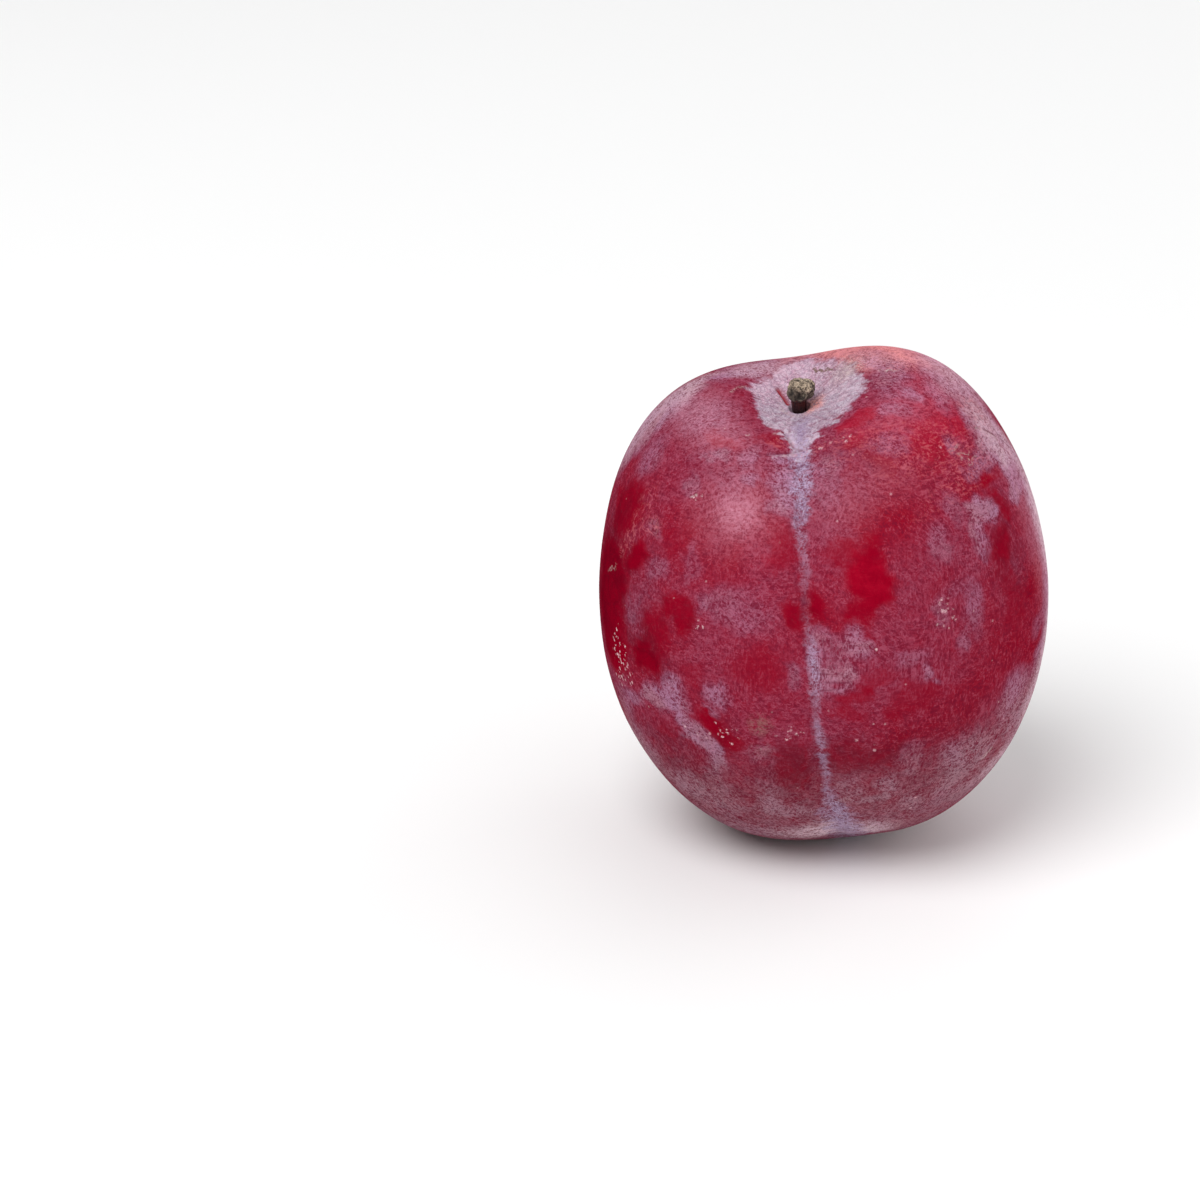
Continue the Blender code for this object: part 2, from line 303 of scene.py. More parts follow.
# Fine lines: the degrees round and above of both ends, then half width in mm and strength.
# Dark ones are folds and scuffs in the skin, darkened partly as painted shade in the folds; pale ones
# dry edges and scratches.
DARK_STROKES = (
    (78.5, 47.2, 83, 44.8, 0.22, 1), (83, 44.8, 88.5, 39.5, 0.22, 1),
    (88.5, 39.5, 95, 32.5, 0.18, 0.8), (80, 42.5, 86, 37.5, 0.12, 0.5),
    (80, 50, 86, 47.5, 0.18, 0.8), (0.8, 7.5, 7, 7.7, 0.16, 0.9),
    (2, 5.4, 9.5, 5.1, 0.16, 0.9), (3, 9.5, 10.5, 9.8, 0.14, 0.7),
    (0.5, 3, 6, 3.5, 0.15, 0.8), (3.4, 16.5, 3, 10.8, 0.16, 0.8),
    (5.4, 15.5, 4.8, 11, 0.15, 0.7), (-1.2, 19, -1.3, 10, 0.16, 0.7),
    (-1, 50.8, -1.1, 46.5, 0.12, 0.9), (-0.6, 29, -1, 19.5, 0.34, 0.6),
    (60, 46.6, 67, 46, 0.13, 0.6), (62, 44.2, 70, 43.4, 0.13, 0.6),
    (61, 41.8, 66.5, 41.4, 0.12, 0.5), (64, 49, 70, 48.3, 0.12, 0.5),
    (75, 36, 77.5, 32, 0.14, 0.5),
)
PALE_STROKES = (
    (79.5, 47, 83.6, 44, 0.13, 0.6), (84, 43.6, 88, 39, 0.13, 0.6),
    (-66.5, 21, -60, 25, 0.12, 0.5), (-39, 47.6, -36.2, 48, 0.2, 0.9),
    (44, -30.8, 49.5, -28.8, 0.22, 0.6), (61, 45.4, 68, 44.7, 0.13, 0.6),
    (62, 42.9, 69, 42.3, 0.13, 0.6), (59, 47.8, 66, 47.2, 0.13, 0.5),
    (-33.5, 67.6, -31.2, 68.4, 0.2, 0.7), (92, 69, 97, 68.2, 0.25, 0.7),
)

# How soft the patches' edges are: shares of their half width where the fading starts and ends
PATCH_EDGE = (0.35, 1.45)
WAX_EDGE = (0.40, 1.45)
PALE_WAX_AND_RIM_SHEEN_EDGE = (0.30, 1.45)
PAINTED_HIGHLIGHT_EDGE = (0.0, 1.7)
RUBBED_EDGE = (0.60, 1.25)

# The thin haze of wax between the patches, its swing, and what it gains below, behind and on top
HAZE = 0.068
HAZE_SWING = 0.050
HAZE_BELOW = 0.25
HAZE_BEHIND = 0.36
HAZE_ON_TOP = 0.06

CORAL_MIDDLE = (146, 62)  # degrees round and above

# The suture's bloom, by degrees above the equator: strength, then its middle and half width in mm
SUTURE_ABOVE = (-60, -45, -38, -32, -26, -15, -8, -3, 3, 10, 17, 22, 26, 30, 36, 42, 48, 55, 62, 68)
SUTURE_STRENGTH = (
    0.60, 0.92, 0.86, 0.52, 0.40, 0.54, 0.58, 0.16, 0.50, 0.62,
    0.30, 0.06, 0.08, 0.18, 0.24, 0.46, 0.84, 0.95, 0.90, 0.85,
)
SUTURE_MIDDLE = (
    1.1, 1.0, 0.7, 0.2, 0.0, 0.0, 0.0, 0.0, 0.1, 0.1,
    0.0, -0.1, -0.1, 0.0, 0.0, 0.0, 0.1, 0.2, 0.4, 0.3,
)
SUTURE_HALF_WIDTH = (
    2.2, 2.0, 1.6, 0.80, 0.50, 0.46, 0.50, 0.36, 0.54, 0.58,
    0.48, 0.40, 0.42, 0.48, 0.54, 0.66, 0.90, 1.20, 1.15, 1.00,
)


def smooth_step(value, low, high):
    share = np.clip((value - low) / (high - low), 0, 1)
    return share * share * (3 - 2 * share)


def bell(distance, width):
    """1 at no distance, falling smoothly to nothing past the width."""
    return np.exp(-((distance / width) ** 2))


def heading(around, above):
    """A unit vector from degrees round from the suture and degrees above the equator."""
    around, above = np.radians(around), np.radians(above)
    return np.stack(
        [np.cos(above) * np.sin(around), -np.cos(above) * np.cos(around), np.sin(above)], axis=-1
    )


def body_radius(direction):
    """The fruit's radius in a direction, before its cavity and suture."""
    sides = np.abs(direction) / (HALF_WIDTH, HALF_DEPTH, HALF_HEIGHT)
    radius = (sides**SQUARENESS).sum(axis=-1) ** (-1 / SQUARENESS)
    top = np.clip(direction[..., 2], 0, 1)
    bottom = np.clip(-direction[..., 2], 0, 1)
    flattening = FLATTENED_TOP * top**2 + FLATTENED_BOTTOM * bottom**2
    share = 1 - flattening * bell(direction[..., 0], FLATTENED_SPREAD)
    for around, above, height in SWELLINGS:
        angle = np.degrees(np.arccos(np.clip(direction @ heading(around, above), -1, 1)))
        share = share + height * bell(angle, SWELLING_SPREAD)
    return radius * share


def suture_depth(direction, x):
    """How far the suture presses the skin in, at x to one side of it."""
    height = direction[..., 2]
    neck = smooth_step(height, *NECK_BOTTOM) * (1 - smooth_step(height, *NECK_TOP))
    groove = GROOVE_DEPTH * bell(x, GROOVE_HALF_WIDTH)
    valley = (VALLEY_DEPTH + NECK_DEPTH * neck) * bell(x, VALLEY_HALF_WIDTH)
    fade = 1 - smooth_step(-height, *SUTURE_END)
    return (groove + valley) * fade * np.sqrt(np.clip(-direction[..., 1], 0, 1))


def fruit_skin(direction):
    """Points of the skin in the fruit's own frame."""
    radius = body_radius(direction)
    radius = radius - suture_depth(direction, radius * direction[..., 0])
    points = direction * radius[..., None]
    x, y = points[..., 0], points[..., 1]
    reach = np.where(y < 0, CAVITY_RADIUS * CAVITY_REACH, CAVITY_RADIUS)
    cavity = CAVITY_DEPTH * np.exp(-((x / CAVITY_RADIUS) ** 2) - (y / reach) ** 2)
    past_socket = smooth_step(np.hypot(x, y), SOCKET_RADIUS, SOCKET_RADIUS + SOCKET_WALL)
    socket = SOCKET_DEPTH * (1 - past_socket)
    points[..., 2] -= np.where(direction[..., 2] > 0, cavity + socket, 0)
    return points


def lie():
    """The fruit's turn and lean as it rests."""
    return (
        Matrix.Rotation(math.radians(LEAN_LEFT), 3, "Y")
        @ Matrix.Rotation(math.radians(LEAN_FORWARD), 3, "X")
        @ Matrix.Rotation(math.radians(TURN), 3, "Z")
    )


# ------ noise and masks


# Multipliers that scatter a lattice corner's whole numbers and the seed
CORNER_SCATTER = (73856093, 19349663, 83492791)
SEED_SCATTER = 2654435
LAST_SCATTER = 1274126177


def lattice_noise(points, size, seed):
    """Smooth noise from -1 to 1, whose bumps are about size apart."""
    scaled = points / size + seed * 17.31
    cell = np.floor(scaled).astype(np.int64)
    part = scaled - cell
    part = part * part * (3 - 2 * part)
    total = np.zeros(len(points))
    for corner in np.ndindex(2, 2, 2):
        key = cell + corner
        number = np.bitwise_xor.reduce(key * CORNER_SCATTER, axis=1) ^ seed * SEED_SCATTER
        number = (number ^ (number >> 13)) * LAST_SCATTER & 0x7FFFFFFF
        number = number ^ (number >> 16)
        weight = np.prod(np.where(corner, part, 1 - part), axis=1)
        total += weight * ((number % 65521) / 32760 - 1)
    return total


def layered_noise(points, size, seed, layers=3, fall=0.5):
    """Noise with each layer half the size of the last, and fall times as strong."""
    return sum(lattice_noise(points, size / 2**i, seed + i) * fall**i for i in range(layers))


def blob(x, y, middle, width, power):
    """1 at a middle, falling to 0 past the width each way, more squarely for a higher power."""
    return np.exp(-(((x - middle[0]) / width[0]) ** power) - ((y - middle[1]) / width[1]) ** power)


def patch_field(direction, patches, ragged, edge=PATCH_EDGE):
    """0 to 1 from patches with edges of that softness, whose outlines wander by the ragged offset."""
    rest = np.ones(len(direction))
    for around, above, width, height, turn, strength in patches:
        middle = heading(around, above)
        east = np.cross((0, 0, 1), middle)
        east /= np.linalg.norm(east)
        north = np.cross(middle, east)
        lean = math.radians(turn)
        along = east * math.cos(lean) + north * math.sin(lean)
        upward = north * math.cos(lean) - east * math.sin(lean)
        u = np.degrees(direction @ along + ragged[:, 0]) / width
        v = np.degrees(direction @ upward + ragged[:, 1]) / height
        near = direction @ middle > 0.3
        rest *= 1 - strength * near * (1 - smooth_step(np.hypot(u, v), *edge))
    return 1 - rest


def line_field(x, y, route, half_width):
    """1 along a line through the given (x, y) points, falling to 0 at its half width."""
    nearest = np.full(len(x), 1e9)
    for (x0, y0), (x1, y1) in zip(route, route[1:]):
        length = (x1 - x0) ** 2 + (y1 - y0) ** 2
        share = np.clip(((x - x0) * (x1 - x0) + (y - y0) * (y1 - y0)) / length, 0, 1)
        nearest = np.minimum(nearest, np.hypot(x - x0 - share * (x1 - x0), y - y0 - share * (y1 - y0)))
    return bell(nearest, half_width)


def closed_curve(turn, stops):
    """A radius by angle, straight between (degrees, radius) stops that go once round."""
    angles = np.array([stop[0] for stop in stops], float)
    radii = np.array([stop[1] for stop in stops], float)
    return np.interp(np.degrees(turn) % 360, angles, radii, period=360)


# The edge of the bloom round the stem: degrees from +x towards +y, and mm from the stem's axis
CAVITY_EDGE = (
    (0, 6.9), (17, 6.7), (33, 7.3), (60, 7.9), (76, 8.2), (90, 8.4), (101, 8.0), (108, 6.8), (120, 6.4),
    (135, 5.8), (159, 5.5), (180, 5.0), (203, 5.2), (223, 5.9), (241, 7.2), (256, 7.0), (262, 9.0),
    (270, 12.0), (276, 10.2), (283, 8.8), (303, 8.1), (314, 8.0), (338, 7.9), (346, 8.1),
)
# Lines round the stem, through points (x, y) in mm from its axis; then half width in mm, and strength
SLIT = ((-2.3, 3.0), (-1.7, 1.9), (-1.2, 0.8))
SLIT_HALF_WIDTH = 0.26
SCAR = ((1.7, 5.9), (1.9, 5.3), (2.4, 5.2), (2.8, 4.7), (3.2, 5.0), (3.6, 4.6))
SCAR_HALF_WIDTH = 0.22
# Folds, sunk in the relief and also darkened along their lines as painted shade
FOLDS = (
    (((1.3, -5.6), (2.2, -5.2), (3.2, -5.3)), 0.22, 0.9),
    (((1.4, -6.0), (2.2, -6.9), (3.0, -7.3)), 0.20, 0.7),
    (((-1.6, -6.7), (-1.0, -8.1), (-0.4, -9.7), (0.4, -10.0)), 0.16, 0.9),
    (((-3.3, -11.3), (-1.6, -10.6), (0.2, -10.0)), 0.16, 1.0),
    (((-1.0, -12.6), (0.5, -12.2)), 0.16, 0.9),
    (((0.4, -7.8), (1.2, -8.0), (1.7, -8.5)), 0.12, 0.5),
    (((5.5, -3.9), (6.8, -3.2)), 0.20, 0.7),
    (((-7.1, -0.2), (-6.5, 0.8), (-5.4, 1.6)), 0.16, 0.5),
    (((6.1, 4.4), (6.2, 2.8), (6.9, 0.6)), 0.16, 0.5),
    (((-3.4, -6.4), (-2.6, -5.2), (-2.3, -4.2)), 0.14, 0.5),
    (((4.3, -6.6), (3.8, -5.2), (3.4, -4.2)), 0.14, 0.5),
    (((9.2, 0.7), (10.2, 0.5), (11.0, 0.8)), 0.14, 0.5),
)
PALE_EDGES = (
    (((-7.4, -0.3), (-6.9, 0.9), (-5.7, 1.9)), 0.18, 1.0),
    (((6.5, 4.3), (6.6, 2.8), (7.2, 0.8)), 0.16, 1.0),
    (((9.2, 1.0), (10.2, 0.9), (11.2, 1.1)), 0.22, 1.0),
    (((-1.9, -7.2), (-2.4, -7.6)), 0.25, 1.0),
    (((-2.8, -11.5), (-0.8, -10.8)), 0.25, 1.0),
)
# Middle and width, in mm, and power
CREAM_BLOB = ((5.4, 3.4), (2.0, 2.6), 2)
# The bare patch reaches onto the socket's wall, where its bright pink is also painted light against the
# socket's shade
BARE_BLOB = ((1.6, -0.2), (1.15, 1.4), 4)
RING_RADIUS = 1.95
RING_HALF_WIDTH = 0.30


def strongest(x, y, lines):
    """The strongest of the lines at each point."""
    fields = [strength * line_field(x, y, route, half_width) for route, half_width, strength in lines]
    return np.maximum.reduce(fields)


def cavity_marks(points, masks):
    """Adds the bloom, folds, slit and scars round the stem to the masks."""
    x, y = points[:, 0], points[:, 1]
    top = points[:, 2] > TOP_ABOVE
    turn = np.arctan2(y, x)
    out = np.hypot(x, y)
    outward = np.stack([np.cos(turn), np.sin(turn), 0 * turn], axis=1)
    climb = np.array([0, 0, 1]) * out[:, None]
    rays = layered_noise(outward * 9 + climb / 5, 0.55, 91, 3)
    fine = layered_noise(outward * 9 + climb / 4, 0.22, 95, 2)
    torn = layered_noise(points * (0.35, 1, 1), 0.9, 97, 3, 0.7) * smooth_step(-y, 4.5, 8.0)
    edge = closed_curve(turn, CAVITY_EDGE) + 0.28 * rays
    edge = edge + 0.6 * layered_noise(points, 1.3, 99, 4, 0.7) + 1.2 * torn
    soft = 1 + 1.0 * smooth_step(y, 0, 6)
    bloom = 1 - smooth_step((out - edge) / soft, -0.8, 0.6)
    masks["cavity"] = np.where(top, bloom, 0)
    masks["behind"] = smooth_step(y - 0.3 * x, -2.0, 4.5)
    masks["rays"] = np.where(top, 0.5 + 0.5 * np.clip(rays + 0.4 * fine, -1, 1), 0.5)
    masks["wax"] = np.maximum(masks["wax"] * (1 - 0.5 * bloom * top), 0.95 * masks["cavity"])

    masks["crease"] = np.maximum(masks["crease"], np.where(top, strongest(x, y, FOLDS), 0))
    masks["slit"] = np.where(top, line_field(x, y, SLIT, SLIT_HALF_WIDTH), 0)
    masks["scar"] = np.where(top, line_field(x, y, SCAR, SCAR_HALF_WIDTH), 0)
    cream = blob(x, y, *CREAM_BLOB)
    ring = bell(out - RING_RADIUS, RING_HALF_WIDTH) * smooth_step(-y, -0.8, 0.8)
    pale = np.maximum.reduce([0.75 * cream, 0.5 * ring, 0.45 * strongest(x, y, PALE_EDGES)])
    masks["cream"] = np.where(top, pale, 0)
    masks["bare"] = np.where(top, blob(x, y, *BARE_BLOB), 0)


def suture_marks(points, above, front, masks):
    """Adds the suture's bloom and the cracks along it to the masks."""
    x = points[:, 0]
    drift = 0.22 * layered_noise(points, 2.2, 41, 3, 0.7)
    frayed = 0.45 * layered_noise(points * (1, 1, 2.2), 1.1, 45, 3, 0.8)
    middle = np.interp(above, SUTURE_ABOVE, SUTURE_MIDDLE)
    half_width = np.interp(above, SUTURE_ABOVE, SUTURE_HALF_WIDTH)
    reach = np.abs(x - middle + drift) / half_width
    masks["suture"] = np.interp(above, SUTURE_ABOVE, SUTURE_STRENGTH) * front
    masks["suture"] *= 1 - smooth_step(reach + frayed, 0.15, 1.50)
    crack = bell(x + 0.30 + 0.5 * drift, 0.13) * smooth_step(above, 41, 45)
    edge = bell(x + 0.85 + drift, 0.25) * smooth_step(above, 22, 28)
    crack = np.maximum(0.9 * crack * (1 - smooth_step(above, 50, 52)), 0.35 * edge * (above < 48))
    groove = bell(x + 0.7 + drift, 0.22) * smooth_step(-above, 0, 4)
    crack = np.maximum(crack, 0.5 * groove * (1 - smooth_step(-above, 30, 34)))
    masks["crease"] = crack * front


def skin_masks(direction, points):
    """Every mark on the skin, as one named strength for each point."""
    wander = np.stack([layered_noise(points, 4.0, seed, 4, 0.72) for seed in (3, 11)], axis=1)
    ragged = 0.028 * wander
    above = np.degrees(np.arcsin(np.clip(direction[:, 2], -1, 1)))
    behind, lower = direction[:, 1], -direction[:, 2]
    front = smooth_step(-behind, 0.02, 0.2)
    masks = {}

    haze = HAZE + HAZE_SWING * layered_noise(points, 7, 31, 5, 0.6)
    haze = haze + HAZE_BELOW * smooth_step(lower, 0.20, 0.80)
    clouds = smooth_step(layered_noise(points, 12, 61, 5, 0.62), 0.0, 0.8)
    haze = haze + HAZE_BEHIND * clouds * smooth_step(behind, -0.05, 0.5)
    haze = haze + HAZE_ON_TOP * smooth_step(-lower, 0.75, 0.97)
    rubbed = patch_field(direction, RUBBED_PATCHES, 1.4 * ragged, RUBBED_EDGE)
    wax = patch_field(direction, WAX_PATCHES, ragged, WAX_EDGE)
    masks["wax"] = 1 - (1 - np.clip(haze, 0, 1) * (1 - rubbed)) * (1 - wax)
    masks["painted_highlight"] = patch_field(direction, PAINTED_HIGHLIGHT_PATCHES, 0 * ragged, PAINTED_HIGHLIGHT_EDGE)
    masks["pale"] = patch_field(direction, PALE_WAX_AND_RIM_SHEEN_PATCHES, ragged, PALE_WAX_AND_RIM_SHEEN_EDGE)
    masks["rubbed"] = rubbed

    suture_marks(points, above, front, masks)
    masks["specks"] = patch_field(direction, SPECK_PATCHES, ragged)
    masks["scratches"] = patch_field(direction, SCRATCH_PATCHES, ragged)
    masks["smear"] = patch_field(direction, SMEAR_PATCHES, 0.4 * ragged)
    masks["low"] = smooth_step(lower, 0.1, 0.5)
    # Painted shade: the red darkens towards the bottom
    underside_shade = 0.55 * smooth_step(lower, 0.0, 0.6)
    masks["deep"] = 1 - (1 - underside_shade) * (1 - patch_field(direction, DEEP_RED_AND_SHADE_PATCHES, ragged))
    masks["bright"] = patch_field(direction, BRIGHT_PATCHES, ragged)
    masks["round_mm"] = ARC_MM * np.degrees(np.arctan2(direction[:, 0], -behind))
    masks["above_mm"] = ARC_MM * above
    cavity_marks(points, masks)
    coral = smooth_step(direction @ heading(*CORAL_MIDDLE), 0.90, 0.99)
    masks["coral"] = coral * (1 - masks["cavity"])
    return masks


def relief(points, masks):
    """How far fine folds and wrinkles move the skin, in millimetres."""
    from_stem = np.hypot(points[:, 0], points[:, 1])
    top = points[:, 2] > TOP_ABOVE
    rays = (masks["rays"] - 0.5) * bell(from_stem - 5.5, 3.6) * top
    wrinkles = layered_noise(points * (1, 1, 3.2), 1.3, 71, 2) * masks["scratches"]
    waves = layered_noise(points, 6, 81, 2)
    height = RAY_HEIGHT * rays + WRINKLE_HEIGHT * wrinkles + WAVE_HEIGHT * waves
    return height - CREASE_DEPTH * masks["crease"] - SLIT_DEPTH * masks["slit"] - SKIN_SINK


# ------ meshes


def sphere(columns, rows):
    """A sphere's mesh, with the angle round and the angle down of each of its points."""
    shape = bmesh.new()
    bmesh.ops.create_uvsphere(shape, u_segments=columns, v_segments=rows, radius=1)
    points = np.array([tuple(vert.co) for vert in shape.verts])
    around = np.arctan2(points[:, 0], -points[:, 1])
    down = np.arccos(np.clip(points[:, 2], -1, 1))
    return shape, around, down


def wrap_map(mesh, around, down, columns):
    """A map for baking: the angle round across it, with its seam at the back, and the angle down it."""
    corners = np.empty(len(mesh.loops), np.int32)
    mesh.loops.foreach_get("vertex_index", corners)
    sides = np.empty(len(mesh.polygons), np.int32)
    mesh.polygons.foreach_get("loop_total", sides)
    face = np.repeat(np.arange(len(sides)), sides)
    pole = np.sin(down[corners]) < 1e-4
    across = np.where(pole, np.nan, around[corners] / (2 * np.pi) + 0.5)
    highest = np.full(len(sides), -np.inf)
    np.fmax.at(highest, face, across)
    split = (highest[face] > 0.75) & (across < 0.25)
    across = np.where(split, across + 1, across)
    highest = np.full(len(sides), -np.inf)
    np.fmax.at(highest, face, across)
    across = np.where(pole, highest[face] - 0.5 / columns, across) / (1 + 1 / columns)
    layer = mesh.uv_layers.new(name="OFBake")
    place = np.stack([across, 1 - down[corners] / np.pi], axis=1)
    layer.data.foreach_set("uv", place.astype(np.float32).ravel())


def add_piece(name, shape, points, around, down, columns, masks, node):
    """Makes the object from points in metres, with its masks as attributes."""
    mesh = bpy.data.meshes.new(name)
    shape.to_mesh(mesh)
    shape.free()
    mesh.vertices.foreach_set("co", points.astype(np.float32).ravel())
    mesh.shade_smooth()
    wrap_map(mesh, around, down, columns)
    for title, values in masks.items():
        layer = mesh.attributes.new(title, "FLOAT", "POINT")
        layer.data.foreach_set("value", values.astype(np.float32))
    piece = bpy.data.objects.new(name, mesh)
    bpy.context.scene.collection.objects.link(piece)
    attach(piece, "root")
    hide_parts(node)
    return piece


def normals_of(points, shape):
    """Unit normals of the sphere's mesh once its points are moved there."""
    mesh = bpy.data.meshes.new("normals")
    shape.to_mesh(mesh)
    mesh.vertices.foreach_set("co", points.astype(np.float32).ravel())
    mesh.update()
    normals = np.empty(len(mesh.vertices) * 3, np.float32)
    mesh.vertices.foreach_get("normal", normals)
    bpy.data.meshes.remove(mesh)
    return normals.reshape(-1, 3)


def fitted(points, node):
    """Points in millimetres moved, and squeezed by a hair, into the CAD node's box, in metres."""
    low, high = (np.array(corner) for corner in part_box(node))
    points = points * MM
    lowest, highest = points.min(axis=0), points.max(axis=0)
    return low + (points - lowest) * (high - low) / (highest - lowest)


def make_fruit():
    shape, around, down = sphere(FRUIT_COLUMNS, FRUIT_ROWS)
    share_round, share_down = around / np.pi, down / np.pi
    around_skin = around * (FRONT_SPACING + FRONT_GROWTH * share_round**2)
    down_skin = down * (TOP_SPACING + TOP_GROWTH * share_down**0.9)
    direction = heading(np.degrees(around_skin), 90 - np.degrees(down_skin))
    points = fruit_skin(direction)
    masks = skin_masks(direction, points)
    moved = points + normals_of(points, shape) * relief(points, masks)[:, None]
    turn = np.array(lie())
    rested = moved @ turn.T
    low, high = (np.array(corner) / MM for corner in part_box("fruit"))
    level = rested[:, 2].max() - (high[2] - low[2])
    rested[:, 2] = np.maximum(rested[:, 2], level)
    placed = fitted(rested, "fruit")
    fruit = add_piece("fruit_skin", shape, placed, around, down, FRUIT_COLUMNS, masks, "fruit")
    return fruit


def make_stem():
    shape, around, down = sphere(STEM_COLUMNS, STEM_ROWS)
    height = STEM_LENGTH * (1 + np.cos(down)) / 2
    knob_middle = STEM_LENGTH - KNOB_HEIGHT / 2
    rise = (height - knob_middle) / (KNOB_HEIGHT / 2)
    knob = np.clip(1 - np.abs(rise) ** KNOB_SQUARENESS, 0, 1) ** (1 / KNOB_SQUARENESS)
    on_knob = smooth_step(rise, *KNOB_START)
    taper = STEM_FOOT + STEM_FLARE * smooth_step(height, 0.4, 2.4)
    neck = np.where(rise < 0, STEM_RADIUS * taper, 0) * np.sin(down) ** 0.1
    lopsided = 1 + 0.10 * np.sin(around) * smooth_step(rise, -0.9, 0.5)
    lopsided = lopsided - 0.10 * smooth_step(rise, 0.1, 1)
    radius = np.maximum(KNOB_RADIUS * knob * lopsided, neck)
    place = np.stack(
        [KNOB_OFFSET * on_knob + radius * np.sin(around), -radius * np.cos(around), height], axis=-1
    )
    plates = 1 - 2 * np.abs(layered_noise(place * (1, 1, 0.55), 1.05, 5, 2))
    rough = layered_noise(place, 0.55, 9, 3, 0.6)
    ridges = np.cos(6 * (around + 0.5 * rise) + 2.6 * lattice_noise(place, 1.2, 15))
    swell = BARK_RIDGES * ridges + BARK_PLATES * (plates - 0.4) + BARK_ROUGH * rough
    swell = swell * on_knob * np.clip(knob, 0.3, 1)
    fibres = NECK_FIBRES * np.cos(9 * around + 2.5 * lattice_noise(place * (1, 1, 0.4), 1.0, 25))
    fibres = fibres * (1 - on_knob)
    outward = np.stack([np.sin(around), -np.cos(around), 0.6 * np.clip(rise, 0, 1)], axis=-1)
    off_poles = np.clip(np.sin(down) * 4, 0, 1)
    place = place + outward * (swell + fibres - BARK_SINK)[:, None] * off_poles[:, None]
    masks = {
        "knob": on_knob,
        "furrow": np.clip(-swell * 5, 0, 1),
        "crest": np.clip(swell * 5, 0, 1),
        "top": smooth_step(height + 0.4 * np.sin(around), STEM_LENGTH - 1.5, STEM_LENGTH - 0.2),
        "foot": 1 - smooth_step(height, 0.9, 2.2),
    }
    axis = np.array(lie() @ Matrix.Rotation(math.radians(STEM_LEAN), 3, "Y"))
    placed = fitted(place @ axis.T, "stem")
    stem = add_piece("stem_bark", shape, placed, around, down, STEM_COLUMNS, masks, "stem")
    return stem


# ------ materials


STROKE_WANDER = 0.9  # mm over which a stroke strays
STROKE_SOFTNESS = 1.6  # of its half width, where it has faded to the side
STROKE_END = (0.3, 0.55)  # of its length from its middle, where it starts to fade and ends


